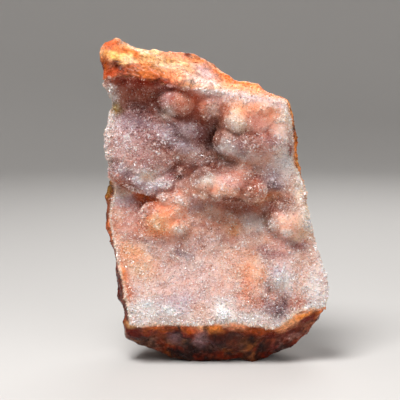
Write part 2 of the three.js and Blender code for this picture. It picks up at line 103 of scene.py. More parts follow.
# stains of the druse, with painted shade in its recesses and painted light that lifts its shaded
# places: name, x, z, half width, half height (mm), turn (degrees), pigment, strength
faceStainsAndPaintedLight = [
    ("lower frost", 0, 23, 32, 11, 0, "frost", 0.5),
    ("foot line", -2, 15.6, 30, 2.2, 0, "snow", 0.35),
    ("upper warmth", -6, 86, 22, 7, -8, "terracotta", 0.5),
    ("middle shade", -8, 74, 12, 9, -38, "mauve", 0.7),
    ("left mass", -27, 72.5, 9.5, 9, 0, "dusk", 0.75),
    ("left mass pink", -22.5, 66, 7.5, 4.5, -30, "dustyPink", 0.8),
    ("mass shade", -19.4, 74, 3, 2, -30, "mauve", 0.7),
    ("mass dusk", -24.8, 74.9, 2.6, 2, 0, "mauve", 0.8),
    ("left mass mauve", -27.5, 78.9, 7, 3.5, 10, "smoke", 0.9),
    ("mass top", -22.8, 77.8, 2.6, 1.6, -20, "slate", 0.6),
    ("left mass top", -25.7, 80.9, 3, 1.4, 0, "plum", 0.5),
    # painted shade in the hollow under the lip, over its rust colour
    ("hollow rust and shade", -22.5, 91, 10.5, 3.4, -7, "rust", 1),
    ("lip shadow", -15.8, 90, 3.2, 1.2, -12, "garnet", 0.9),
    ("hollow wine", -24.6, 86, 6.2, 3.2, -5, "terracotta", 0.6),
    ("hollow plum", -20.6, 81.4, 6.4, 2.2, -12, "plum", 0.45),
    ("plum left", -19.6, 80.8, 2, 1.5, 0, "umber", 0.7),
    ("left wall", -33.6, 86.6, 2.4, 4.6, -12, "bone", 0.95),
    ("hollow left", -31.4, 90.8, 2.4, 2.2, 0, "carnelian", 0.9),
    ("olive spot", -31.6, 82, 1.5, 2, 0, "olive", 1),
    ("left rim pale", -33.8, 72, 1.6, 10, 0, "bone", 0.8),
    ("shelf pink", -29.5, 70, 4, 4.6, 0, "dustyPink", 0.8),
    ("shelf left", -31.6, 64, 1.8, 3, 0, "umber", 0.85),
    ("shelf edge", -29.8, 64.6, 1.8, 1.8, 0, "umber", 0.6),
    ("shelf rose", -17.4, 69, 5, 3, -25, "umber", 0.65),
    ("mass pale", -22, 63.6, 6, 2, -25, "blush", 0.6),
    ("mass rose", -21.9, 65.3, 2.6, 1.6, -25, "mauve", 0.8),
    ("shelf lip frost", -22, 58.6, 8.6, 3, -16, "lilac", 0.85),
    ("shelf lip grey", -27.2, 61.4, 4, 1.4, -35, "dusk", 0.8),
    ("shelf lip glow", -21.3, 60.9, 2.6, 1.4, -16, "cream", 0.8),
    ("shelf end frost", -14, 60.6, 3, 2, 35, "mauve", 0.85),
    ("dome rust", -10.6, 84.2, 5.8, 5, 0, "sienna", 0.85),
    ("dome glow", -9, 85.4, 3.2, 2.6, -20, "blossom", 0.35),
    ("dome rim", -15.6, 86.6, 2.2, 3.6, -8, "mauve", 0.8),
    # painted shade under the dome
    ("dome foot", -8.6, 79, 5.6, 1.5, -16, "umber", 0.75),
    ("dome right", -4.8, 83.4, 1.8, 4.6, 10, "blossom", 0.8),
    ("second dome", -1.4, 83.2, 3.4, 2.9, 0, "umber", 0.6),
    ("second dome frost", -2.6, 85.4, 2.2, 1, 0, "rose", 0.5),
    ("second dome right", 3, 84.4, 1.6, 1.4, 0, "frost", 0.7),
    ("second dome specks", -1, 82, 1.8, 1.2, 0, "blush", 0.5),
    # painted shade in the recess in the middle, under the domes and between the ridges
    ("dark middle", 0.5, 72.9, 3.4, 4.6, -22, "chestnut", 0.85),
    ("dark middle foot", -0.3, 70.8, 2.2, 2, 0, "chestnut", 0.7),
    ("middle bump", -5, 74.3, 1.8, 1.8, 0, "mauve", 0.7),
    ("dark middle low", -4, 70, 5.5, 1.8, -38, "plum", 0.35),
    ("dark notch", -10.9, 64.6, 1.8, 1.3, 0, "chestnut", 0.9),
    ("notch shade", -12.4, 62.6, 2.6, 1.3, -30, "chestnut", 0.85),
    ("dark saddle", -15, 78, 4.4, 1.8, -50, "chestnut", 0.9),
    ("under dome", -12.6, 75.9, 2.6, 1.6, 0, "plum", 0.8),
    ("dome side", -15, 81.3, 2, 1.6, 0, "bone", 0.8),
    ("grey ridge top", -17.2, 75.4, 4.6, 1.7, -40, "dusk", 0.8),
    ("grey ridge low", -9.2, 69.6, 5.8, 1.7, -42, "lilac", 0.9),
    ("between ridges", -10.4, 72.8, 3.2, 1.1, -38, "plum", 0.7),
    ("ridge shade", -11.4, 72.2, 1.8, 1, -38, "umber", 0.6),
    ("grey bump", -8.2, 75.8, 3, 1.7, -15, "lilac", 0.5),
    ("under ridge", -14.6, 66.6, 4.6, 2, -30, "rose", 0.5),
    ("ridge foot", -7.2, 66.8, 5, 1.4, -5, "blush", 0.8),
    ("peach dome", 7.2, 80.6, 3.3, 4.2, 0, "shell", 1),
    ("peach dome glow", 7.4, 80, 1.9, 2.4, 0, "shell", 0.7),
    ("peach dome edge", 10.2, 79.4, 0.8, 3.2, 10, "blush", 0.5),
    ("dome low", 7.8, 75.9, 2.2, 1.4, 0, "cream", 0.9),
    # painted shade in the gap between the domes
    ("dome gap", 3.4, 80.6, 1.5, 3, 0, "sienna", 0.7),
    ("grey lobe", 3.6, 72.2, 2.3, 3.4, -10, "taupe", 0.85),
    ("grey lobe rim", 6.6, 68.2, 5, 1.6, -8, "snow", 0.95),
    ("lobe foot", 8.4, 68.3, 2.4, 1.2, 0, "snow", 0.9),
    # painted light in the shade under the grey lobe
    ("under grey lobe", 6.6, 65.6, 6, 0.9, -10, "peach", 0.8),
    ("grey lobe right", 7.9, 70.6, 2.6, 2.4, 0, "dusk", 0.75),
    # painted shade in the hollow left of the grey lobe
    ("lobe left", 0.4, 73, 1.2, 2.6, 0, "umber", 0.8),
    ("orange plateau", 13, 82.2, 5.2, 3.2, -12, "orange", 0.85),
    ("coral plateau", 16.6, 80.2, 3.2, 2, -18, "orange", 0.6),
    ("plateau rose", 13.8, 78.4, 3, 2, -12, "terracotta", 0.6),
    ("plateau edge", 22.2, 79.2, 1.8, 3.4, 0, "cream", 0.9),
    ("pink plateau", 15.2, 75.6, 4.6, 4.2, -30, "rose", 0.95),
    ("plateau low", 13.6, 70.6, 4.2, 2.4, -20, "rose", 0.7),
    ("lobe shade", 10.2, 73.2, 2.8, 2.4, 0, "umber", 0.85),
    ("pale flake", 20.4, 75.4, 3.4, 2.4, -40, "blush", 0.95),
    ("under flake", 21, 71.8, 3.4, 0.9, -35, "rose", 0.7),
    ("flake shade", 17.9, 72.4, 2, 1.8, 0, "mauve", 0.8),
    ("white top edge", 12, 86, 12, 1.5, -12, "frost", 0.9),
    ("top edge peach", 19, 86.8, 5.2, 1, -12, "orange", 0.9),
    ("left of top edge", -0.8, 87.6, 4.4, 1.6, -8, "frost", 0.8),
    ("pale brow", -1.6, 88.6, 2.4, 1, -8, "snow", 0.8),
    ("left valley", -28.9, 52.4, 3.6, 2, -35, "lilac", 0.95),
    ("valley pale", -29.8, 55.4, 2, 1.6, -35, "cream", 0.8),
    ("left of tail", -24.6, 49, 3.6, 2.6, 0, "mauve", 0.6),
    ("roll bright", 2.3, 60.6, 5.8, 2, -4, "dustyPink", 0.8),
    ("roll pink", 5.6, 60.6, 2.6, 1.2, -10, "terracotta", 0.6),
    ("roll bump", -2.4, 60, 2.4, 2, 0, "cream", 0.9),
    ("roll notch", -7.6, 61.8, 1.8, 1.4, 0, "umber", 0.8),
    ("roll glow", 6, 58.2, 5.8, 1.9, -10, "rose", 0.95),
    ("roll top right", 8, 61.6, 3, 1.3, -10, "terracotta", 0.6),
    ("roll orange", 3, 56.4, 8.4, 1.5, -6, "salmon", 0.9),
    ("roll left", -10, 58.4, 2.6, 2.5, 20, "umber", 0.55),
    ("roll start", -12.8, 58.1, 2, 1.6, 0, "frost", 0.8),
    ("shelf end rose", -14.4, 60.2, 1.6, 1.2, 0, "mauve", 0.8),
    # painted light in the shade under the roll
    ("roll foot", -4.6, 55.5, 5.6, 1.2, 0, "apricot", 1),
    # painted shade in the recess above the roll and at its ends
    ("above roll", 0.6, 65, 6, 1.7, -10, "chestnut", 0.65),
    ("roll crest", 0, 63.2, 3.6, 1, -6, "umber", 0.8),
    ("roll shade", -5.4, 62.4, 3.4, 1.8, -20, "chestnut", 0.7),
    ("roll crown", -3, 63.2, 1.8, 1, -10, "umber", 0.6),
    ("roll end", 10.6, 57.2, 2.6, 3, -20, "umber", 0.9),
    ("roll right", 13.5, 60, 2, 2, 0, "umber", 0.75),
    ("orange tail", -13.8, 50, 5.6, 3.6, 42, "salmon", 0.95),
    ("tail top", -16.2, 55.2, 2.2, 1.4, 20, "terracotta", 0.8),
    ("orange tail low", -17.6, 44.4, 5.4, 3.4, 0, "orange", 1),
    ("tail gold", -17.6, 45.8, 2.6, 2, 0, "clementine", 0.6),
    ("tail glow", -19.2, 47.2, 2.4, 1.6, 20, "flame", 0.6),
    ("tail left", -23.2, 44.1, 1.8, 2, 0, "terracotta", 0.7),
    ("tail pale", -10.7, 48.3, 2.4, 1.6, 0, "apricot", 0.8),
    # painted light in the shade under the tail's fold
    ("under tail", -8.8, 42.8, 3.6, 1.8, -10, "peach", 0.95),
    # the recess under the shelf: painted shade at its edge and painted light that lifts its shaded
    # floor
    ("shelf recess", -29, 58.2, 4.4, 2, -38, "sienna", 1),
    ("recess edge", -26.7, 57.9, 1.8, 1, -38, "umber", 1),
    ("recess glow", -24.6, 55, 3.4, 1, -30, "frost", 0.6),
    ("shelf recess low", -22.2, 53.6, 3.8, 1.2, -16, "flame", 0.9),
    ("under recess", -21.4, 51.2, 3, 1.1, -10, "sienna", 0.8),
    ("smoky pit", -6.1, 50.4, 1.9, 1.6, 0, "lilac", 0.6),
    ("pit rim", -7.7, 53.4, 2, 1.3, 0, "frost", 0.8),
    # painted shadow under the roll
    ("valley", 5, 53.6, 9, 1.2, -13, "umber", 0.95),
    ("valley rose", 8, 50.2, 8, 1.8, -13, "terracotta", 0.6),
    # painted light in a shaded spot, then painted shade in the hollow beside it
    ("right brown", 16.6, 53.8, 3.4, 1.8, 20, "clementine", 0.8),
    ("right hollow", 13.6, 56.4, 2.2, 2.6, 0, "sienna", 0.9),
    ("right grey", 22.4, 66.3, 4.2, 4.9, -35, "snow", 0.85),
    ("right smoke", 19, 59.6, 3.6, 3.2, -40, "smoke", 0.85),
    ("right frost", 22.6, 62.2, 1.8, 2.4, 0, "snow", 0.8),
    ("right cream", 27.6, 56.8, 1.7, 5.8, -12, "cream", 0.9),
    ("right specks", 17.8, 67, 2.2, 1.7, 0, "blush", 0.7),
    ("right seam", 24.2, 69.2, 0.9, 2.2, 0, "rust", 0.9),
    # the right lobe: painted shade above, beside and low on it, and painted light where it is shaded
    # underneath
    ("right lobe", 24.2, 44.8, 5, 3.2, -15, "apricot", 0.95),
    ("right lobe low", 22.3, 42.8, 1.8, 1.2, 0, "umber", 0.7),
    ("right lobe glow", 24.6, 44.8, 3, 1.7, -15, "peach", 0.8),
    ("right lobe edge", 29.3, 46.4, 1.7, 5.2, -12, "honey", 0.6),
    ("right edge cream", 28.6, 47.6, 1.5, 2.6, -12, "cream", 0.9),
    ("right edge low", 30.4, 44.8, 1.2, 3, -12, "cream", 1),
    ("right edge white", 30, 45, 1.2, 1.6, 0, "white", 0.9),
    ("right edge rose", 31.6, 37.6, 1.4, 3, -12, "blush", 0.8),
    ("right lobe top", 18.9, 50.4, 2.8, 1.5, -20, "rose", 0.8),
    ("right lobe left", 17.6, 45.6, 1.8, 2.4, 0, "plum", 0.5),
    ("above right lobe", 22.4, 51.9, 4, 2.3, -12, "umber", 0.6),
    ("right lobe shadow", 20.4, 52.9, 2.4, 1.4, -20, "umber", 0.75),
    ("under right lobe", 23.4, 39.4, 5, 1.6, -25, "frost", 0.8),
    ("under lobe glow", 27, 41.2, 2, 1.6, 0, "cream", 0.8),
    ("under right edge", 27, 38.4, 2.4, 1.6, -20, "mauve", 1),
    ("under edge shade", 26.6, 37.6, 2, 1.2, -20, "umber", 0.6),
    ("left edge orange", -32, 44.4, 1.9, 5, -6, "coral", 0.7),
    ("left margin", -28.5, 46.6, 3.4, 4.4, -10, "rose", 0.7),
    ("left edge brown", -33.6, 53.3, 1.2, 2.4, 0, "umber", 0.85),
    ("left edge rust", -33.8, 54, 1.2, 1.4, 0, "rust", 0.6),
    ("left margin pale", -30.8, 47.6, 1.4, 2.4, 0, "peach", 0.8),
    ("left dark line", -22.6, 40.6, 5.4, 0.9, -14, "mauve", 0.5),
    ("low left orange", -25.6, 35, 5.6, 2.6, -35, "clementine", 0.75),
    ("low left coral", -23.4, 33.4, 3, 1.3, -20, "apricot", 0.7),
    ("low left glow", -24, 31, 3.6, 2.2, -15, "shell", 0.8),
    ("left foot orange", -30.2, 28.8, 1.8, 4.2, 0, "flame", 1),
    ("left foot glow", -28.3, 24.4, 1.4, 3.4, 0, "coral", 0.7),
    ("slope honey", 3.8, 45.6, 4, 2.2, -10, "orange", 0.5),
    # painted light in the shade of a fold
    ("slope step", 12.4, 45.6, 3, 2, -10, "snow", 0.9),
    ("slope tan", 5.6, 43, 1.8, 2.2, 0, "honey", 0.6),
    ("slope amber", 5.9, 40.6, 2.4, 1.6, 0, "rose", 0.7),
    ("slope brown", -1.7, 45.4, 5.4, 2.4, -5, "terracotta", 0.6),
    # painted light in the shade below the roll's foot
    ("slope light", -1, 48.4, 5, 1.5, -5, "peach", 0.9),
    ("slope grey", -4.6, 39.6, 6.6, 2.2, -10, "ash", 0.5),
    ("slope smoke", -10.2, 36, 3.6, 1.7, -25, "smoke", 0.8),
    ("slope rose", -17, 38.6, 3.4, 1.8, -10, "frost", 0.4),
    ("slope pale", -6, 29.6, 8, 4, 0, "frost", 0.6),
    ("slope shade", 14.2, 21, 3.2, 2.3, 0, "terracotta", 0.7),
    ("slope peach", 4, 32, 4.4, 5, 0, "peach", 0.6),
    ("slope apricot", 12.4, 31.2, 4, 5.6, -10, "clementine", 0.5),
    ("apricot streak", 9.8, 24.4, 1.7, 5, -8, "coral", 0.6),
    ("bank shade", 14, 38.2, 4.6, 1.6, -20, "blush", 0.6),
    ("bank left", 15.8, 35.8, 2, 2.4, 0, "ash", 0.8),
    ("frosty bank", 21.7, 32.4, 4.4, 3, -10, "frost", 0.8),
    ("frosty bank white", 20, 30.6, 2, 1.4, -10, "lilac", 0.8),
    ("frosty bank grey", 19, 36.4, 4.8, 1.3, -15, "mauve", 0.8),
    ("bank top", 20.7, 38.9, 2.4, 1.3, -15, "rose", 0.7),
    ("grey dimple", 17, 26.6, 1.6, 2.2, -20, "ash", 0.8),
    ("bank white low", 22.2, 27, 2.8, 2.6, -10, "white", 0.9),
    ("dark patch", 21.2, 18.4, 2.4, 3.8, -18, "slate", 0.85),
    ("dark patch tail", 19.8, 16.6, 1.8, 1.4, 0, "plum", 0.5),
    ("right foot cream", 31.5, 25.3, 3.5, 6, -12, "white", 0.7),
    ("right foot peach", 27.6, 26.6, 2, 3.4, -12, "peach", 0.6),
    ("right foot shade", 27.2, 20.4, 3, 1.5, 20, "terracotta", 0.8),
    ("right bank pink", 28.6, 33.6, 3.2, 2.6, 0, "blush", 0.8),
    ("foot white", -23, 17.2, 8, 2.4, -3, "snow", 0.85),
    ("foot knob left", -21.6, 19.6, 3, 1.8, 0, "white", 0.8),
    ("foot lilac", -10.5, 20.6, 5.7, 2.5, 0, "lilac", 0.7),
    ("white knob", 2.3, 18.2, 3, 2.6, 0, "white", 0.95),
    ("white knob small", -14.3, 18.3, 1.5, 1.4, 0, "white", 1),
    ("foot peach", -4.6, 18.6, 3, 2.6, 0, "peach", 0.7),
    ("foot frost", 11.4, 15.8, 6.4, 1.6, -5, "snow", 0.8),
    ("foot smoke", 17, 19.3, 1.8, 2, 0, "dusk", 0.8),
]

# the same for the broken band that runs from the lip up to the ridge, with painted shade under the lip
bandStainsAndPaintedShade = [
    ("cream bed", -19, 98.4, 9, 2.6, -10, "honey", 0.85),
    ("ridge orange", -32.8, 102.2, 3.5, 2.4, -10, "brick", 0.95),
    ("ridge tan", -28, 102.2, 3, 1.2, -20, "ochre", 0.8),
    ("ridge amber", -30.6, 100.4, 2.2, 0.9, -20, "copper", 0.8),
    ("yellow stripe", -30.4, 98.2, 5, 1.1, -14, "straw", 0.85),
    ("yellow stripe end", -24, 96.7, 3.4, 0.8, -12, "copper", 0.95),
    ("left rim", -35.8, 95.9, 1.6, 2.9, 0, "amber", 1),
    ("amber low", -29, 94.7, 6.2, 2.3, -14, "garnet", 0.95),
    ("lip left", -33.4, 93.2, 2.4, 1.6, 0, "carnelian", 0.95),
    ("orange lip", -20, 93.2, 6.4, 2, -12, "amber", 0.95),
    ("cream crest", -21, 100.2, 6.6, 0.9, -8, "custard", 0.8),
    ("rose blotch", -27, 99.6, 2.4, 0.9, -12, "copper", 0.95),
    ("stripe pale", -27.4, 97.6, 2, 0.7, -12, "custard", 0.8),
    ("orange blotch", -18.4, 96.2, 4, 1, -12, "ochre", 0.7),
    ("pink blotch", -12.4, 98.9, 4.6, 1.5, -8, "blossom", 0.85),
    ("cream blotch", -13.4, 95.4, 3.4, 1.2, -10, "shell", 0.7),
    ("bed amber", -14.8, 96.8, 2.4, 1, -10, "ochre", 0.7),
    ("lip peach", -10.8, 92, 3.6, 2.2, 0, "coral", 0.8),
    ("lip peach glow", -10.4, 91.6, 2.6, 1.1, 0, "apricot", 0.6),
    ("lip cream", -7.4, 91.4, 1.8, 1, -12, "cream", 0.8),
    # painted shade under the lip
    ("lip rust and shadow", -16.4, 91.3, 3.8, 1.1, -12, "garnet", 0.9),
    ("lilac", -3, 94.2, 3.6, 1.4, -28, "lilac", 0.75),
    ("ridge salmon", -5.4, 96.8, 3, 1.2, -24, "copper", 0.6),
    ("lip white", -3.2, 91.2, 4.6, 1.6, -22, "frost", 0.85),
    ("slate vein", 0.6, 91.6, 4, 0.5, -22, "rose", 0.5),
    ("ridge orange right", -3.2, 98, 5.2, 1.2, -32, "amber", 0.9),
    ("rose streak", 3.4, 92.2, 4.4, 0.8, -26, "salmon", 0.7),
    ("white streak", 9, 88.8, 8, 1.2, -16, "orange", 0.7),
    ("ridge orange far", 6, 91.4, 6.4, 1.1, -22, "flame", 0.9),
    ("ridge orange end", 18.3, 87.6, 5.8, 1.2, -16, "flame", 0.9),
    ("pits", -31.4, 96, 1.6, 0.8, -20, "chestnut", 1),
    ("pit right", -9, 99.8, 1.4, 1, 0, "umber", 1),
]

# the same for the broken rind under the druse, with painted glow on its shaded top and corner
rimStainsAndPaintedGlow = [
    ("left corner", -26.2, 11, 2.6, 2.2, 10, "garnet", 1),
    ("left corner lip", -27, 12.9, 1.6, 0.9, 0, "honey", 0.9),
    ("left mauve", -20.6, 11.4, 2.6, 1, -5, "umber", 0.5),
    ("left amber", -14.2, 12.4, 3.6, 1.1, 0, "garnet", 0.6),
    ("left crack", -11.8, 12.6, 0.5, 1, 20, "tar", 1),
    ("left gold", -17.6, 9, 2, 2, 20, "syrup", 0.6),
    ("left heather", -12.6, 8.4, 2, 1.8, 0, "heather", 0.7),
    ("left shade", -12.6, 10.6, 1.6, 0.8, 0, "tar", 0.7),
    # painted glow on the rim's shaded top
    ("middle glow", -6.2, 12.4, 2.6, 1.4, 5, "brick", 1),
    ("middle bright", -4.2, 13.2, 2.4, 1.2, 0, "clementine", 1),
    ("middle crack", -2.8, 12.2, 0.7, 1.6, 0, "tar", 1),
    ("middle amber", 0.2, 12, 2.2, 1.9, 0, "ember", 1),
    ("middle heather", -4.4, 8, 1.9, 2.8, 0, "dusk", 0.8),
    ("middle maroon", 1, 9.2, 3.4, 1.6, 0, "chestnut", 0.9),
    ("middle plum", 4.4, 12, 2, 0.6, -25, "umber", 0.9),
    ("middle lip", 3.4, 13.9, 2.4, 0.7, 0, "shell", 0.9),
    ("middle olive", 4.6, 6, 4.4, 1.2, 0, "matrix", 0.5),
    ("right lip", 7.4, 13, 2.4, 1.3, -5, "orange", 1),
    ("right maroon", 8, 9.2, 4.6, 1.9, 0, "chestnut", 0.8),
    ("right specks", 11.6, 8.4, 0.9, 0.6, 0, "tar", 0.9),
    ("right gold", 13.4, 11.4, 3, 1.8, -8, "syrup", 0.9),
    ("right amber", 19, 9.6, 3, 1.4, 10, "garnet", 0.9),
    # painted glow on the shaded corner
    ("corner glow", 25.2, 14, 4.2, 2, 32, "clementine", 1),
    ("corner bright", 24, 14.6, 2.4, 0.6, 32, "melon", 0.9),
    ("corner red", 29.4, 14.4, 2.8, 1, 32, "garnet", 1),
    ("corner dark", 24.6, 10.6, 3.4, 1.2, 25, "garnet", 0.9),
    ("corner tip", 33.2, 18.6, 1.4, 0.9, 20, "shell", 0.8),
    ("corner edge", 30.4, 18, 3, 0.9, 28, "cream", 1),
    ("corner orange", 28.4, 16.2, 2.4, 0.9, 30, "ember", 1),
]

# the same for the rind beside it
sideStains = [
    ("left brown", -34.6, 55, 3, 7, 0, "umber", 0.8),
    ("left moss", -34.8, 56.6, 1.4, 3, 0, "olive", 0.7),
    ("left dark", -30.9, 26, 3, 14, 6, "garnet", 0.85),
    ("right orange", 25.4, 82, 2.6, 6, 0, "ember", 0.9),
    ("right orange low", 26.6, 66, 1.8, 5, 0, "ember", 0.8),
    ("right pit", 24.9, 74.6, 0.8, 1.2, 0, "tar", 0.9),
    ("left char", -29.6, 20, 2.4, 4, 6, "chestnut", 0.6),
]

# patches under the stains: pigment, size (mm), strength, and how far off their noise is taken (m)
facePatches = [("apricot", 3.4, 0.4, 7), ("dusk", 2.6, 0.4, 4), ("frost", 1.8, 0.4, 5)]
bandPatches = [("custard", 3.1, 0.7, 7), ("brick", 1.2, 0.35, 5), ("cream", 0.9, 0.35, 5)]
rimPatches = [("syrup", 4, 0.7, 5), ("chestnut", 2, 0.6, 8)]
matrixPatches = [("ochre", 12, 0.9, 5), ("heather", 5, 0.55, 7), ("chestnut", 3, 0.7, 8),
                 ("tan", 7, 0.7, 3), ("brick", 9, 0.35, 5), ("bone", 6, 0.25, 4), ("tar", 1.6, 0.5, 3)]

# the rind behind the druse: how far behind it each layer starts in mm, and its pigment
rindLayers = [(0.0, "cream"), (0.5, "copper"), (2.0, "amber"), (3.4, "carnelian"), (4.6, "chestnut"),
              (5.6, "matrix")]

veins = {
    "pigment": "bone",
    "strength": 0.7,
    "size": 10 * mm,
    "width": 0.035,  # of the noise's values
    "patchSize": 14 * mm,  # of the places that have veins
    "patchBlend": (-0.1, 0.2),
    "away": 5,  # how far off the patches' noise is taken (m)
}

tinting = {
    "druse": "blush",  # the pigment that lies under the patches and stains
    "band": "melon",
    "patchBlend": (0, 0.45),  # of the noise's values, from outside a patch to inside it
    "wander": 1.1 * mm,  # how far a stain's edge strays
    "wanderSize": 4.5 * mm,
    "raggedness": 0.6 * mm,
    "raggedSize": 1.3 * mm,
    "reach": 1.25,  # times a stain's half width and half height
    "druseSharpness": 1.25,
    "rindSharpness": 1.6,
    "bandSharpness": 1.8,
    "hollows": (0.3, 0, 0.5),  # painted shade: how much deeper the colour is in hollow places, between these depths in mm
    "bumpGlow": (0.12, 0.1, 0.7),  # painted glow: how much clearer the colour is on raised places, between these heights in mm
    "rims": (0.2, 0.05, 0.2),  # painted glow, the same on the sharp rims of each bump
    "bumpRounds": 30,  # rounds of smoothing that level a bump
    "rimRounds": 5,
    "cloudiness": 0.22,
    "cloudSize": 4 * mm,
    "fineClouds": 0.6,  # times the others
    "fineCloudSize": 1.3 * mm,
    "depthRange": (0.25, 2),
    "layerWaves": 0.6,  # how unevenly thick the rind's layers are
    "waveSize": 3.5 * mm,
    "layerBlend": 0.15,  # mm
    "sideBlend": 5 * mm,  # the side's stains fade over this much of the depth
    "rimTop": (17 * mm, 20 * mm),  # the rim's stains end between these heights
    "rimFootShade": 0.6,  # painted shade: how much deeper its colour is at the foot, which faces down
    "rimFoot": (2 * mm, 12 * mm),
    "bandFoot": (84 * mm, 87 * mm),  # the band's stains start between these heights
    "bandBack": 3 * mm,
    "line": "cream",  # round the druse, but not along the band
    "lineStrength": 0.7,
    "lineWidth": 0.5 * mm,
    "lineTop": (84 * mm, 86 * mm),
    "lineFacing": (0.1, 0.5),  # it comes where the surface turns to the front
    "glassyRim": (0.4, 16, 21),  # how much the mottle fades, and over which heights in mm
    "waxyBand": (0.3, 85, 88),
}


def step(value, low, high):  # 0 below low, 1 above high, and smooth between them
    t = np.clip((value - low) / (high - low), 0, 1)
    return t * t * (3 - 2 * t)


def gained(value, amount, low, high):  # 0 below low, and the amount above high, both in mm
    return amount * step(value, low * mm, high * mm)


def sampled(kind, points, size, *settings):  # one kind of noise at every point
    return np.array([kind(Vector(p) / size, *settings) for p in points])


def clouded(points, size):  # soft noise about 0
    return sampled(noise.fractal, points, size, 1, 2, 3)


def strayed(points):  # moved by noise, so that what is laid out on them gets ragged edges
    wide = sampled(noise.noise_vector, points, tinting["wanderSize"])
    fine = sampled(noise.noise_vector, points, tinting["raggedSize"])
    return points + tinting["wander"] * wide + tinting["raggedness"] * fine


def mixIn(tints, share, colour):  # turns each tint towards the colour, by its share
    tints += share[:, None] * (colour - tints)


# lays a table of stains, with any painted light and painted shade listed among them
def blendMarks(tints, points, marks, sharpness):
    for _, x, z, halfWidth, halfHeight, turn, pigment, strength in marks:
        dx = points[:, 0] / mm - x
        dz = points[:, 2] / mm - z
        c, s = math.cos(math.radians(turn)), math.sin(math.radians(turn))
        along = (dx * c + dz * s) / (tinting["reach"] * halfWidth)
        over = (dz * c - dx * s) / (tinting["reach"] * halfHeight)
        mixIn(tints, strength * np.exp(-(along ** 2 + over ** 2) ** sharpness), pigments[pigment])


def blendPatches(tints, points, patches):
    for pigment, size, strength, away in patches:
        share = step(clouded(points + away, size * mm), *tinting["patchBlend"])
        mixIn(tints, strength * share, pigments[pigment])


def faceTints(points, raised, crisp):
    points = strayed(points - slabMiddle)
    tints = np.tile(pigments[tinting["druse"]], (len(points), 1))
    blendPatches(tints, points, facePatches)
    blendMarks(tints, points, faceStainsAndPaintedLight, tinting["druseSharpness"])
    # painted shade: deeper colour in hollow places; painted glow: clearer colour on raised places and
    # their rims
    depth = 1 + gained(-raised, *tinting["hollows"])
    depth -= gained(raised, *tinting["bumpGlow"])
    depth -= gained(crisp, *tinting["rims"])
    clouds = clouded(points, tinting["cloudSize"])
    fineClouds = clouded(points, tinting["fineCloudSize"])
    depth += tinting["cloudiness"] * (clouds + tinting["fineClouds"] * fineClouds)
    return tints ** np.clip(depth, *tinting["depthRange"])[:, None]  # thin is pale, and thick deep; the painted shade and glow above come in here too


def layeredTints(points, depth):  # the matrix, its veins, and the layers between it and the druse
    tints = np.tile(pigments["matrix"], (len(points), 1))
    blendPatches(tints, points, matrixPatches)
    vein = np.exp(-(clouded(points, veins["size"]) / veins["width"]) ** 2)
    vein *= step(clouded(points + veins["away"], veins["patchSize"]), *veins["patchBlend"])
    mixIn(tints, veins["strength"] * vein, pigments[veins["pigment"]])
    wavy = sampled(noise.noise, points, tinting["waveSize"])
    depth = depth / mm * (1 - tinting["layerWaves"] * wavy)
    blend = tinting["layerBlend"]
    for (top, pigment), (bottom, _) in zip(rindLayers, rindLayers[1:]):
        started = step(depth, top - blend, top + blend)
        ended = step(depth, bottom - blend, bottom + blend)
        mixIn(tints, started * (1 - ended), pigments[pigment])
    return tints


def rimTints(points, tints):
    tints = tints.copy()
    blendPatches(tints, points, rimPatches)
    blendMarks(tints, points, rimStainsAndPaintedGlow, tinting["rindSharpness"])
    # painted shade: the colour deepens towards the foot
    deep = tinting["rimFootShade"]
    return tints ** (1 + deep - deep * step(points[:, 2], *tinting["rimFoot"])[:, None])


def bandTints(points):
    tints = np.tile(pigments[tinting["band"]], (len(points), 1))
    blendPatches(tints, points, bandPatches)
    blendMarks(tints, points, bandStainsAndPaintedShade, tinting["bandSharpness"])
    return tints


def rindTints(points, depth):
    points = strayed(points - slabMiddle)
    tints = layeredTints(points, depth)
    side = tints.copy()
    blendMarks(side, points, sideStains, tinting["rindSharpness"])
    mixIn(tints, step(-points[:, 1], 0, tinting["sideBlend"]), side)
    low, high = tinting["rimTop"]
    mixIn(tints, step(-points[:, 2], -high, -low) * (points[:, 1] < 0), rimTints(points, tints))
    onBand = step(points[:, 2], *tinting["bandFoot"]) * (points[:, 1] < tinting["bandBack"])
    mixIn(tints, onBand, bandTints(points))
    return tints


# the druse's edge on the stone, as x and z in mm, anticlockwise from the lower left
druseEdge = [
    (-27.2, 13.6), (-23.8, 13.1), (-19.4, 13.8), (-14.6, 13.8), (-4.5, 13.7), (5.6, 14.8), (14.4, 13.3),
    (18.8, 12.5), (22.3, 14.4), (25.8, 17.5), (29.8, 18.9), (34.1, 18.7), (38.0, 20.8), (38.0, 26.6),
    (35.7, 34.3), (32.8, 42.8), (30.8, 50.9), (28.8, 57.5), (25.4, 63.9), (25.0, 70.5), (24.4, 78.9),
    (22.3, 84.9), (12.5, 86.7), (4.6, 88.0), (-3.9, 88.7), (-10.9, 89.6), (-17.2, 90.5), (-23.5, 92.1),
    (-29.8, 92.8), (-34.0, 92.0), (-37.4, 90.6), (-36.8, 86.1), (-34.4, 81.6), (-36.4, 78.7),
    (-37.2, 74.5), (-36.4, 64.6), (-34.6, 61.4), (-32.5, 58.8), (-32.1, 55.4), (-33.5, 50.7),
    (-33.9, 46.9), (-32.3, 38.5), (-29.9, 27.8), (-27.7, 18.9),
]

# smooth domes, without knobs and under finer points: x, z and radius in mm
domes = [(-10.0, 83.8, 7.6), (-1.6, 83.4, 4.2), (6.9, 80.4, 4.6), (4.2, 71.8, 5.4), (13.6, 80.6, 5.6),
         (20.2, 75.4, 3.6), (3.6, 59.0, 6.4), (-6.4, 59.4, 4.4), (-15.6, 49.0, 5.0), (23.6, 45.4, 5.4)]

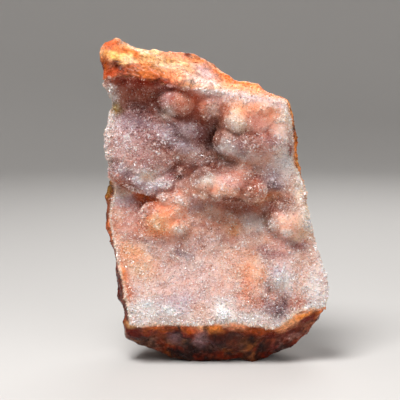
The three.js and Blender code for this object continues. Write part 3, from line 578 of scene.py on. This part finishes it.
# edges that end in a row of lobes: lobe radius in mm, how deep it sits, then x and z along the edge
lips = {
    "shelf": (1.7, 0.62, [(-31.0, 61.0), (-28.0, 58.4), (-25.4, 56.8), (-21.6, 55.4), (-17.4, 55.1)]),
    "greyLobe": (1.1, 0.62, [(0.6, 76.0), (0.8, 71.6), (2.8, 68.4), (6.0, 67.2), (9.0, 66.8),
                             (11.4, 68.4)]),
    "flake": (0.9, 0.62, [(17.2, 77.4), (18.6, 74.6), (21.4, 73.2), (23.0, 71.6)]),
    "rightLobe": (1.1, 0.62, [(16.8, 47.8), (19.6, 43.8), (23.8, 42.6), (27.0, 42.0)]),
    "leftEdge": (1.1, 0.62, [(-33.4, 90.0), (-32.0, 87.0), (-30.6, 83.6), (-32.4, 79.6),
                             (-33.8, 76.2), (-33.8, 71.8), (-33.0, 67.6), (-31.8, 64.0)]),
    "rightEdge": (1.0, 0.62, [(23.4, 66.0), (25.2, 61.0), (26.6, 56.4), (27.8, 51.0), (29.4, 45.4),
                              (31.2, 38.6)]),
    "recess": (3.0, 0.2, [(-26.4, 56.0), (-23.6, 54.6), (-20.2, 53.2), (-17.6, 54.0)]),
    "tailTop": (2.6, 0.5, [(-18.0, 54.6), (-14.6, 55.6)]),
    "rollFoot": (2.6, 0.4, [(-6.0, 55.8), (-1.5, 55.6), (3.5, 54.8)]),
    "rightLobeFoot": (2.6, 0.45, [(19.4, 44.4), (23.2, 43.0), (27.4, 43.0)]),
    "bank": (2.8, 0.62, [(20.6, 28.0), (23.4, 25.6)]),
    "topLip": (1.1, 0.62, [(-16.0, 90.2), (-12.6, 89.4), (-9.0, 89.0), (-5.0, 88.0)]),
}

# relief: name, texture, size and strength (mm), vertex group, and the texture's level that stays put
relief = [
    ("druseRipple", "CLOUDS", 2.6, 0.5, "druse", 0.5),
    ("druseGrain", "CLOUDS", 0.9, 0.25, "druse", 0.5),
    ("druseKnobs", "VORONOI", 4.4, -0.6, "knobby", 0.3),
    ("rindScoops", "VORONOI", 9, 1.7, "rind", 0.38),
    ("rindChips", "VORONOI", 4.4, 1.2, "rind", 0.38),
    ("rindBreak", "CLOUDS", 2.4, 0.6, "rough", 0.5),
    ("rindGrain", "CLOUDS", 0.8, 0.35, "rough", 0.5),
]

stone = {
    "voxel": 0.56 * mm,
    "smoothing": 3,
    "faceFront": 5 * mm,  # the druse lies more than this in front of the slab's middle
    "faceBlend": 2 * mm,
    "edgeWidth": 0.5 * mm,
    "edgeWander": 0.6,  # mm
    "edgeWanderSize": 2.2 * mm,
    "domeBlend": (0.7, 1.1),  # the domes end between these, times the radius
    "rimRoughness": 0.5,  # times the rest of the rind's
    "rimTop": (17 * mm, 22 * mm),
    "slopeTop": 44 * mm,  # the lobes are smaller below this
    "slopeLobes": 0.7,  # times the radius
    "knobFoot": (40 * mm, 50 * mm),  # the knobs start between these heights
    "fineLobes": 260,
    "fineRadius": (0.8 * mm, 2.1 * mm),
    "fineMargin": 0.4 * mm,  # from the druse's edge
    "fineStretch": (0.9, 1.35),
    "lipRadius": (0.65, 1.2),  # times the lip's own
    "lipStretch": (0.9, 1.3),
    "lipSpacing": 1.1,
    "lipJitter": 0.3,  # times the spacing
    "sunk": 0.7,  # times the radius
    "seed": 7,
}


def insideEdge(points):  # how far each point is inside the druse's edge, seen from the front
    place = points[:, (0, 2)] / mm
    corners = np.array(druseEdge)
    nearest = np.full(len(place), np.inf)
    inside = np.zeros(len(place), bool)
    for a, b in zip(corners, np.roll(corners, -1, axis=0)):
        along = b - a
        t = np.clip((place - a) @ along / (along @ along), 0, 1)
        nearest = np.minimum(nearest, np.hypot(*(place - a - t[:, None] * along).T))
        crosses = (a[1] > place[:, 1]) != (b[1] > place[:, 1])
        reach = a[0] + (place[:, 1] - a[1]) * along[0] / (along[1] or 1e-9)
        inside ^= crosses & (place[:, 0] < reach)
    return np.where(inside, nearest, -nearest) * mm


def druseShare(points):  # 1 on the druse and 0 on the broken rind
    place = points - slabMiddle
    wander = sampled(noise.noise, points, stone["edgeWanderSize"]) * stone["edgeWander"] * mm
    share = step(insideEdge(place) + wander, -stone["edgeWidth"], stone["edgeWidth"])
    return share * step(-place[:, 1], stone["faceFront"] - stone["faceBlend"], stone["faceFront"])


def domeShare(points):  # 1 on the smooth domes
    place = (points - slabMiddle)[:, (0, 2)] / mm
    reach = [np.hypot(place[:, 0] - x, place[:, 1] - z) / radius for x, z, radius in domes]
    return 1 - step(np.min(reach, axis=0), *stone["domeBlend"])


def mergedStone():
    shape = bmesh.new()
    shape.from_mesh(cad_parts["chalcedony"].data)
    bmesh.ops.remove_doubles(shape, verts=shape.verts, dist=0.001 * mm)
    return shape


def growLobe(shape, tree, x, z, radius, sunk, stretch):  # sits on the face at x, z
    start = Vector((x + slabMiddle[0], -0.1, z))  # well in front of the stone
    spot, normal, _, _ = tree.ray_cast(start, Vector((0, 1, 0)))
    if spot is None:
        return
    middle = spot - normal * radius * sunk
    turned = Matrix.Translation(middle) @ normal.to_track_quat("Z", "Y").to_matrix().to_4x4()
    stretched = turned @ Matrix.Diagonal((stretch, 1, 1, 1))
    bmesh.ops.create_icosphere(shape, subdivisions=2, radius=radius, matrix=stretched)


def growFineLobes(shape, tree, rng):
    low, high = np.array(druseEdge).min(0), np.array(druseEdge).max(0)
    grown = 0
    while grown < stone["fineLobes"]:
        x, z = rng.uniform(low, high) * mm
        spot = np.array([[x, 0, z]])
        if insideEdge(spot)[0] < stone["fineMargin"] or domeShare(spot + slabMiddle)[0] > 0.5:
            continue
        radius = rng.uniform(*stone["fineRadius"])
        radius *= stone["slopeLobes"] if z < stone["slopeTop"] else 1
        growLobe(shape, tree, x, z, radius, stone["sunk"], rng.uniform(*stone["fineStretch"]))
        grown += 1


def growLips(shape, tree, rng):
    jitter = stone["lipJitter"]
    for size, sunk, line in lips.values():
        for start, end in zip(line, line[1:]):
            count = max(1, round(math.dist(start, end) / (stone["lipSpacing"] * size)))
            for i in range(count):
                along = i + rng.uniform(-jitter, jitter)
                x, z = np.array(start) + (np.array(end) - start) * along / count
                radius = size * rng.uniform(*stone["lipRadius"])
                stretch = rng.uniform(*stone["lipStretch"])
                growLobe(shape, tree, x * mm, z * mm, radius * mm, sunk, stretch)


def placed(name, data):  # a new object in the scene
    made = bpy.data.objects.new(name, data)
    bpy.context.scene.collection.objects.link(made)
    return made


def displace(piece, name, kind, size, strength, group, middle):
    texture = bpy.data.textures.new(name, kind)
    texture.noise_scale = size * mm
    if kind == "VORONOI":
        texture.distance_metric = "DISTANCE_SQUARED"  # scoops that meet in sharp ridges
    modifier = piece.modifiers.new(name, "DISPLACE")
    modifier.texture = texture
    modifier.texture_coords = "LOCAL"
    modifier.mid_level = middle
    modifier.strength = strength * mm
    modifier.vertex_group = group


def applied(piece):  # bakes the piece's modifiers into its mesh
    ready = piece.evaluated_get(bpy.context.evaluated_depsgraph_get())
    mesh = bpy.data.meshes.new_from_object(ready)
    piece.modifiers.clear()
    piece.data = mesh
    return mesh


def gathered(items, kind, width, dtype=float):  # one value of every item, such as its "co"
    values = np.empty(width * len(items), dtype)
    items.foreach_get(kind, values)
    return values.reshape(-1, width)


def vertexVectors(mesh, kind):
    return gathered(mesh.vertices, kind, 3)


def bulge(mesh, rounds):  # how far each vertex stands above its neighbourhood, below it when negative
    first, second = gathered(mesh.edges, "vertices", 2, int).T
    count = len(mesh.vertices)
    links = np.bincount(first, minlength=count) + np.bincount(second, minlength=count)
    points = vertexVectors(mesh, "co")
    smoothed = points.copy()
    for _ in range(rounds):
        total = [np.bincount(first, smoothed[second, k], count) +
                 np.bincount(second, smoothed[first, k], count) for k in range(3)]
        smoothed = np.stack(total, axis=1) / links[:, None]
    return ((points - smoothed) * vertexVectors(mesh, "normal")).sum(axis=1)


def setWeights(piece, name, weights):
    group = piece.vertex_groups.new(name=name)
    levelCount = 20
    levels = np.round(weights * levelCount).astype(int)
    for level in np.unique(levels):
        group.add(np.nonzero(levels == level)[0].tolist(), level / levelCount, "REPLACE")


def fusedStone():  # the CAD stone and its lobes, as one skin
    shape = mergedStone()
    tree = BVHTree.FromBMesh(shape)
    rng = np.random.default_rng(stone["seed"])
    growFineLobes(shape, tree, rng)
    growLips(shape, tree, rng)
    mesh = bpy.data.meshes.new("stone")
    shape.to_mesh(mesh)
    shape.free()
    piece = placed("chalcedonyStone", mesh)
    remesh = piece.modifiers.new("fuse", "REMESH")
    remesh.mode = "VOXEL"
    remesh.voxel_size = stone["voxel"]
    smooth = piece.modifiers.new("soften", "SMOOTH")
    smooth.iterations = stone["smoothing"]
    applied(piece)
    return piece


def stoneBody():
    piece = fusedStone()
    points = vertexVectors(piece.data, "co")
    drusy, height = druseShare(points), points[:, 2]
    setWeights(piece, "druse", drusy)
    setWeights(piece, "rind", 1 - drusy)
    least = stone["rimRoughness"]
    setWeights(piece, "rough", (1 - drusy) * (least + (1 - least) * step(height, *stone["rimTop"])))
    setWeights(piece, "knobby", drusy * step(height, *stone["knobFoot"]) * (1 - domeShare(points)))
    for row in relief:
        displace(piece, *row)
    mesh = applied(piece)
    points = vertexVectors(mesh, "co")
    points[:, 2] = np.maximum(points[:, 2], 0)  # the foot stays flat
    mesh.vertices.foreach_set("co", points.ravel())
    mesh.shade_smooth()
    print("stone:", len(mesh.vertices), "vertices,", 2 * len(mesh.polygons), "triangles")
    return piece


def storeValues(mesh, name, values):  # for the materials
    attribute = mesh.attributes.new(name, "FLOAT", "POINT")
    attribute.data.foreach_set("value", values.astype(np.float32))


def storeColours(mesh, name, tints):
    attribute = mesh.attributes.new(name, "FLOAT_COLOR", "POINT")
    rgba = np.concatenate([tints, np.ones((len(tints), 1))], axis=1)
    attribute.data.foreach_set("color", rgba.astype(np.float32).ravel())


def depthBehind(points, drusy):  # each point's distance from the druse
    druse = np.nonzero(drusy > 0.5)[0][::3]  # every third point is near enough
    tree = KDTree(len(druse))
    for i in druse:
        tree.insert(points[i], int(i))
    tree.balance()
    return np.array([0 if share > 0.5 else tree.find(p)[2] for p, share in zip(points, drusy)])


def plainShare(points, drusy):  # where the broken stone's mottle fades: 1 on the druse
    most, low, high = tinting["glassyRim"]
    glassy = most * (1 - step(points[:, 2], low * mm, high * mm))
    waxy = gained(points[:, 2], *tinting["waxyBand"]) * (points[:, 1] < tinting["bandBack"])
    return np.maximum(drusy, np.maximum(glassy, waxy))


# the stone's colours: stains, with their painted light and shade
def tintStone(piece):
    points = vertexVectors(piece.data, "co")
    drusy = druseShare(points)
    depth = depthBehind(points, drusy)
    raised = bulge(piece.data, tinting["bumpRounds"])
    crisp = bulge(piece.data, tinting["rimRounds"])
    tints = np.zeros((len(points), 3))
    rind, face = drusy < 1, drusy > 0
    tints[rind] = rindTints(points[rind], depth[rind])
    shares = drusy[face][:, None]
    tints[face] += shares * (faceTints(points[face], raised[face], crisp[face]) - tints[face])
    edge = insideEdge(points - slabMiddle) / tinting["lineWidth"]
    facing = step(-vertexVectors(piece.data, "normal")[:, 1], *tinting["lineFacing"])
    facing *= 1 - step(points[:, 2], *tinting["lineTop"])
    mixIn(tints, tinting["lineStrength"] * np.exp(-edge ** 2) * facing, pigments[tinting["line"]])
    storeColours(piece.data, "tint", tints)
    storeValues(piece.data, "plain", plainShare(points, drusy))
    print("stone stained")
    return drusy, tints, crisp


druse = {
    "count": 78000,
    "radius": (0.18 * mm, 0.55 * mm),
    "height": (1.2, 2.1),  # times the radius
    "size": 0.85,
    "rims": (0.45, 0, 0.2),  # how much larger on the sharp rims, between these heights in mm
    "unevenness": 0.35,
    "unevenSize": 5 * mm,
    "foot": (0.2, 18, 26),  # how much larger at the foot, which ends between these heights in mm
    "domes": 0.35,  # how much smaller on the domes
    "sunk": 0.8,  # times the radius
    "lean": 0.3,
    "depth": (0.4, 1.45),  # from pale points to deeply coloured ones
    "clear": 0.13,  # the share of points that are nearly white: clear quartz and painted sparkle
    "smoky": 0.03,  # and of those that are dark: painted shade between the points
    "rows": (28 * mm, 44 * mm, 63 * mm),  # the heights where it is parted into pieces
    "seed": 23,
}

crust = {  # larger points on the sharp rims of the bumps
    "count": 3000,
    "radius": (0.25 * mm, 0.5 * mm),
    "height": (0.8, 1.4),
    "sunk": 0.6,
    "lean": 0.6,
    "depth": (0.6, 1.3),
    # nearly white points: clear quartz and painted sparkle; dark points: painted shade
    "clear": 0.05,
    "smoky": 0.03,
    "rims": (0.1 * mm, 0.3 * mm),  # how far a rim stands out
    "seed": 31,
}

grains = {  # broken bits on the rind
    "count": 12000,
    "radius": (0.12 * mm, 0.42 * mm),
    "height": (0.7, 1.2),
    "sunk": 0.5,
    "lean": 0.7,
    "depth": (0.5, 2.0),
    # nearly white grains: painted glints
    "clear": 0.08,
    "smoky": 0.1,
    "rim": 0.4,  # how many there are on the rim, of what the rest has
    "rimTop": (20 * mm, 25 * mm),
    "footTop": (0.3 * mm, 0.6 * mm),  # there are none under the flat foot
    "seed": 41,
}

quartz = {  # what all of them have in common
    "squash": (0.75, 1.2),  # of the width, each way
    "tint": (0.002, 0.9),
    "steadiness": 0.4,  # how much less the depth varies where the colour is strong
    "clearTint": (0.03, 0.2),  # nearly white points come where the stone is paler than this
    "clearLimit": 1.3,  # and where its colour isn't strong
    "clearDepth": 0.3,
    "shade": (0.88, 1.08),
    # how dark the dark points are: painted shade
    "smokyShade": 0.55,
}


def pointShape():  # one quartz point: six sides on a hexagon, in triangles
    shape = bmesh.new()
    bmesh.ops.create_cone(shape, cap_ends=True, segments=6, radius1=1, radius2=0, depth=1,
                          matrix=Matrix.Translation((0, 0, 0.5)))
    bmesh.ops.remove_doubles(shape, verts=shape.verts, dist=1e-5)
    bmesh.ops.triangulate(shape, faces=shape.faces)
    corners = np.array([v.co for v in shape.verts])
    faces = np.array([[v.index for v in f.verts] for f in shape.faces])
    shape.free()
    return corners, faces


def unit(directions):
    return directions / np.linalg.norm(directions, axis=1)[:, None]


def pointPlaces(corners, spots, normals, sizes, form, rng):  # where every point's corners are
    count = len(spots)
    up = unit(normals + form["lean"] * rng.normal(size=(count, 3)))
    side = unit(np.cross(up, rng.normal(size=(count, 3))))
    small, large = form["radius"]
    radius = (small + (large - small) * rng.uniform(0, 1, count) ** 2) * sizes
    height = radius * rng.uniform(*form["height"], count)
    squash = rng.uniform(*quartz["squash"], (count, 2))
    axes = np.stack([side * (radius * squash[:, 0])[:, None],
                     np.cross(up, side) * (radius * squash[:, 1])[:, None],
                     up * height[:, None]], axis=1)
    base = spots - up * (form["sunk"] * radius)[:, None]
    return np.einsum("kj,njc->nkc", corners, axes) + base[:, None, :]


def pointTints(tints, form, rng):  # some points pale, some deep, some nearly white as clear quartz and painted sparkle, and some dark, which on the druse is painted shade between the points
    count = len(tints)
    depth = rng.uniform(*form["depth"], count)
    tints = np.clip(tints, *quartz["tint"])
    strong = 1 - tints.min(axis=1) / tints.max(axis=1)  # near 1 where the colour is strong
    depth = 1 + (depth - 1) * (1 - quartz["steadiness"] * strong)
    clear = form["clear"] * step(tints.mean(axis=1), *quartz["clearTint"])
    clear *= np.minimum(quartz["clearLimit"] - strong, 1)
    depth[rng.uniform(0, 1, count) < clear] = quartz["clearDepth"]
    shade = rng.uniform(*quartz["shade"], count)
    # painted shade: the dark points
    shade[rng.uniform(0, 1, count) < form["smoky"]] = quartz["smokyShade"]
    return tints ** depth[:, None] * shade[:, None]


def quartzPoints(name, spots, normals, tints, sizes, form, rng):  # one mesh, in the form's sizes
    corners, faces = pointShape()
    count = len(spots)
    places = pointPlaces(corners, spots, normals, sizes, form, rng)
    allFaces = faces[None] + (np.arange(count) * len(corners))[:, None, None]
    mesh = bpy.data.meshes.new(name)
    mesh.from_pydata(places.reshape(-1, 3).tolist(), [], allFaces.reshape(-1, 3).tolist())
    storeColours(mesh, "tint", np.repeat(pointTints(tints, form, rng), len(corners), axis=0))
    mesh.shade_flat()
    print(name, count, "points,", len(mesh.polygons), "triangles")
    return placed(name, mesh)


def scattered(mesh, shares, values, count, rng):  # places spread evenly over the mesh, by share
    mesh.calc_loop_triangles()
    corners = gathered(mesh.loop_triangles, "vertices", 3, int)
    areas = gathered(mesh.loop_triangles, "area", 1)[:, 0] * shares[corners].mean(axis=1)
    chosen = corners[rng.choice(len(corners), count, p=areas / areas.sum())]
    mixing = rng.dirichlet((1, 1, 1), count)
    return [np.einsum("nk,nk...->n...", mixing, value[chosen])
            for value in (vertexVectors(mesh, "co"), vertexVectors(mesh, "normal"), *values)]


def growDruse(mesh, drusy, tints, crisp):
    rng = np.random.default_rng(druse["seed"])
    places = vertexVectors(mesh, "co")
    more, low, high = druse["foot"]
    sizes = druse["size"] + gained(crisp, *druse["rims"])
    sizes += druse["unevenness"] * clouded(places, druse["unevenSize"])
    sizes += more * (1 - step(places[:, 2], low * mm, high * mm))
    sizes *= 1 - druse["domes"] * domeShare(places)
    spots, normals, tints, sizes = scattered(mesh, drusy, (tints, sizes), druse["count"], rng)
    left = spots[:, 0] < 0
    rows = np.digitize(spots[:, 2], druse["rows"])
    pieces = []
    for row, level in enumerate(("Foot", "Slope", "Roll", "Top")):
        for side, here in (("Left", left), ("Right", ~left)):
            zone = here & (rows == row)
            pieces.append(quartzPoints("druse" + level + side, spots[zone], normals[zone],
                                       tints[zone], sizes[zone], druse, rng))
    return pieces


def growCrust(mesh, drusy, tints, crisp):
    rng = np.random.default_rng(crust["seed"])
    shares = drusy * step(crisp, *crust["rims"])
    spots, normals, tints = scattered(mesh, shares, (tints,), crust["count"], rng)
    return quartzPoints("rimCrust", spots, normals, tints, 1, crust, rng)


def growGrains(mesh, drusy, tints):
    rng = np.random.default_rng(grains["seed"])
    height = vertexVectors(mesh, "co")[:, 2]
    shares = (1 - drusy) * step(height, *grains["footTop"])
    shares *= grains["rim"] + (1 - grains["rim"]) * step(height, *grains["rimTop"])
    spots, normals, tints = scattered(mesh, shares, (tints,), grains["count"], rng)
    return quartzPoints("rindGrains", spots, normals, tints, 1, grains, rng)


def newMaterial(name):
    material = bpy.data.materials.new(name)
    material.use_nodes = True
    return material, material.node_tree, material.node_tree.nodes["Principled BSDF"]


def addNode(tree, kind, **settings):
    made = tree.nodes.new(kind)
    for name, value in settings.items():
        setattr(made, name, value)
    return made


def setInputs(node, values):
    for name, value in values.items():
        node.inputs[name].default_value = value


def storedValue(tree, name, kind):  # an attribute of the mesh
    return addNode(tree, "ShaderNodeAttribute", attribute_name=name).outputs[kind]


def scaled(tree, texture, low, high, toLow, toHigh):  # a texture's values, stretched to a range
    made = addNode(tree, "ShaderNodeMapRange", interpolation_type="SMOOTHSTEP")
    setInputs(made, {"From Min": low, "From Max": high, "To Min": toLow, "To Max": toHigh})
    tree.links.new(texture, made.inputs["Value"])
    return made.outputs["Result"]


def blended(tree, factor, first, second, kind="MIX"):
    made = addNode(tree, "ShaderNodeMix", data_type="RGBA", blend_type=kind)
    for socket, value in (("Factor_Float", factor), ("A_Color", first), ("B_Color", second)):
        target = next(i for i in made.inputs if i.identifier == socket)
        if isinstance(value, bpy.types.NodeSocket):
            tree.links.new(value, target)
        else:
            target.default_value = value
    return next(o for o in made.outputs if o.identifier == "Result_Color")


def noiseTexture(tree, place, scale, detail, roughness):
    made = addNode(tree, "ShaderNodeTexNoise")
    setInputs(made, {"Scale": scale, "Detail": detail, "Roughness": roughness})
    tree.links.new(place, made.inputs["Vector"])
    return made.outputs


def cells(tree, place, scale, feature):
    made = addNode(tree, "ShaderNodeTexVoronoi", feature=feature)
    made.inputs["Scale"].default_value = scale
    tree.links.new(place, made.inputs["Vector"])
    return made.outputs["Distance"]


chert = {
    "grain": (800, 6, 0.65),  # scale, detail and roughness of the noise
    "blotches": (240, 3, 0.65),
    "bends": (350, 2, 0.5),
    "bend": 4 * mm,  # how far the cracks bend
    "cracks": 210,  # scale of the cells
    "specks": 900,
    "grainShade": (0.32, 0.68, 0.4, 1.6),  # a range of the pattern, and the range it gives
    "blotchShade": (0.3, 0.7, 0.7, 1.3),
    "crackShade": (0, 0.05, 0.25, 1),
    "crackPlaces": (0.42, 0.55, 1, 0),
    "speckShade": (0.12, 0.3, 0.3, 1),
    "speckPlaces": (0.5, 0.6, 0, 0.9),
    "roughness": (0.35, 0.65, 0.08, 0.35),
}


def brokenChert():  # mottle, hair cracks and dark specks on a tint, for the broken rind
    group = bpy.data.node_groups.new("brokenChert", "ShaderNodeTree")
    for name, way, kind in (("Tint", "INPUT", "Color"), ("Plain", "INPUT", "Float"),
                            ("Colour", "OUTPUT", "Color"), ("Roughness", "OUTPUT", "Float"),
                            ("Height", "OUTPUT", "Float")):
        group.interface.new_socket(name, in_out=way, socket_type="NodeSocket" + kind)
    given = group.nodes.new("NodeGroupInput").outputs
    result = group.nodes.new("NodeGroupOutput").inputs
    place = group.nodes.new("ShaderNodeTexCoord").outputs["Object"]

    grain = noiseTexture(group, place, *chert["grain"])["Fac"]
    blotches = noiseTexture(group, place, *chert["blotches"])["Fac"]
    bends = noiseTexture(group, place, *chert["bends"])["Color"]
    bent = addNode(group, "ShaderNodeVectorMath", operation="MULTIPLY_ADD")
    bent.inputs[1].default_value = (chert["bend"],) * 3
    group.links.new(bends, bent.inputs[0])
    group.links.new(place, bent.inputs[2])
    seams = cells(group, bent.outputs[0], chert["cracks"], "DISTANCE_TO_EDGE")
    specks = cells(group, place, chert["specks"], "F1")

    def shaded(tint, pattern, ranges):
        return blended(group, 1, tint, scaled(group, pattern, *chert[ranges]), "MULTIPLY")

    mottled = shaded(shaded(given["Tint"], grain, "grainShade"), blotches, "blotchShade")
    cracked = shaded(mottled, seams, "crackShade")
    tint = blended(group, scaled(group, blotches, *chert["crackPlaces"]), mottled, cracked)
    specked = shaded(tint, specks, "speckShade")
    tint = blended(group, scaled(group, blotches, *chert["speckPlaces"]), tint, specked)
    group.links.new(blended(group, given["Plain"], tint, given["Tint"]), result["Colour"])
    group.links.new(scaled(group, grain, *chert["roughness"]), result["Roughness"])
    group.links.new(blended(group, given["Plain"], grain, (0.5, 0.5, 0.5, 1)), result["Height"])
    return group


stoneFinish = {
    "IOR": 1.54,
    "Specular IOR Level": 0.12,
    "Subsurface Weight": 0.5,
    "Subsurface Radius": (1, 0.5, 0.3),  # red light reaches furthest
    "Subsurface Scale": 3.0 * mm,
}

stoneBump = {"Strength": 0.7, "Distance": 0.5 * mm}

quartzFinish = {
    "Roughness": 0.15,
    "IOR": 1.54,
    "Specular IOR Level": 0.4,
    "Subsurface Weight": 0.4,
    "Subsurface Radius": (1, 0.5, 0.3),
    "Subsurface Scale": 1.0 * mm,
}


def stoneMaterial():
    material, tree, shader = newMaterial("waxyChalcedony")
    broken = addNode(tree, "ShaderNodeGroup", node_tree=brokenChert())
    tree.links.new(storedValue(tree, "tint", "Color"), broken.inputs["Tint"])
    tree.links.new(storedValue(tree, "plain", "Fac"), broken.inputs["Plain"])
    bump = addNode(tree, "ShaderNodeBump")
    setInputs(bump, stoneBump)
    tree.links.new(broken.outputs["Height"], bump.inputs["Height"])
    tree.links.new(broken.outputs["Colour"], shader.inputs["Base Color"])
    tree.links.new(broken.outputs["Roughness"], shader.inputs["Roughness"])
    tree.links.new(bump.outputs["Normal"], shader.inputs["Normal"])
    setInputs(shader, stoneFinish)
    return material


def quartzMaterial():
    material, tree, shader = newMaterial("sugarQuartz")
    tree.links.new(storedValue(tree, "tint", "Color"), shader.inputs["Base Color"])
    setInputs(shader, quartzFinish)
    return material


camera = {
    "aim": Vector((-4.42, 0.47, 51.5)) * mm,
    "distance": 0.5,
    "elevation": 7,  # degrees
    "frameWidth": 131.6 * mm,  # what the frame spans at the stone
    "sensor": 36,  # mm
}

studio = {
    "floorRadius": 0.6,
    "sweep": 0.3,
    "sweepSteps": 12,
    "wall": 1.1,
    "floorSides": 96,
    "floorColour": linear(196, 193, 190),
    "floorRoughness": 0.9,
    "ambient": 0.08,
    "lampAim": Vector((0, 0, 0.05)),
}

lamps = [  # name, place, size (m), power (W)
    ("key", (-0.13, -0.25, 0.50), 0.24, 4.2),
    ("fill", (0.30, -0.50, 0.22), 0.4, 1.0),
    ("rim", (0.12, 0.38, 0.40), 0.3, 1.15),
]


def turnedFrom(back):  # how a camera or lamp is turned to look away from back
    return (-back).to_track_quat("-Z", "Y").to_euler()


def addCamera():
    lens = bpy.data.cameras.new("camera")
    lens.sensor_width = camera["sensor"]
    lens.lens = lens.sensor_width * camera["distance"] / camera["frameWidth"]
    eye = placed("camera", lens)
    rise = math.radians(camera["elevation"])
    back = Vector((0, -math.cos(rise), math.sin(rise)))
    eye.location = camera["aim"] + back * camera["distance"]
    eye.rotation_euler = turnedFrom(back)
    bpy.context.scene.camera = eye


def addFloor():  # a round floor that curves up into a wall, so that every side has the same backdrop
    shape = bmesh.new()
    flat, sweep, steps = studio["floorRadius"], studio["sweep"], studio["sweepSteps"]
    turns = [math.radians(90) * i / steps for i in range(steps + 1)]
    profile = [(0, 0)] + [(flat + sweep * math.sin(a), sweep * (1 - math.cos(a))) for a in turns]
    profile.append((flat + sweep, studio["wall"]))
    verts = [shape.verts.new((reach, 0, height)) for reach, height in profile]
    edges = [shape.edges.new(pair) for pair in zip(verts, verts[1:])]
    bmesh.ops.spin(shape, geom=verts + edges, cent=(0, 0, 0), axis=(0, 0, 1),
                   angle=math.radians(360), steps=studio["floorSides"], use_merge=True)
    bmesh.ops.remove_doubles(shape, verts=shape.verts, dist=0.1 * mm)
    bmesh.ops.recalc_face_normals(shape, faces=shape.faces)
    mesh = bpy.data.meshes.new("floor")
    shape.to_mesh(mesh)
    shape.free()
    mesh.shade_smooth()
    floor = placed("floor", mesh)
    material, _, shader = newMaterial("paperSweep")
    setInputs(shader, {"Base Color": (*studio["floorColour"], 1),
                       "Roughness": studio["floorRoughness"]})
    mesh.materials.append(material)


def addLights():
    for name, place, size, power in lamps:
        light = bpy.data.lights.new(name, "AREA")
        light.size = size
        light.energy = power
        lamp = placed(name, light)
        lamp.location = place
        lamp.rotation_euler = turnedFrom(Vector(place) - studio["lampAim"])
    world = bpy.data.worlds.new("studio")
    world.use_nodes = True
    ambient = world.node_tree.nodes["Background"]
    setInputs(ambient, {"Color": (1, 1, 1, 1), "Strength": studio["ambient"]})
    bpy.context.scene.world = world


addCamera()
addFloor()
addLights()
bpy.context.scene.view_settings.view_transform = "Standard"
print("studio ready")

body = stoneBody()
drusy, tints, crisp = tintStone(body)
body.data.materials.append(stoneMaterial())
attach(body, "root")
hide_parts("chalcedony")

sugar = quartzMaterial()
points = growDruse(body.data, drusy, tints, crisp)
points.append(growCrust(body.data, drusy, tints, crisp))
points.append(growGrains(body.data, drusy, tints))
for piece in points:
    piece.data.materials.append(sugar)
    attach(piece, "root")
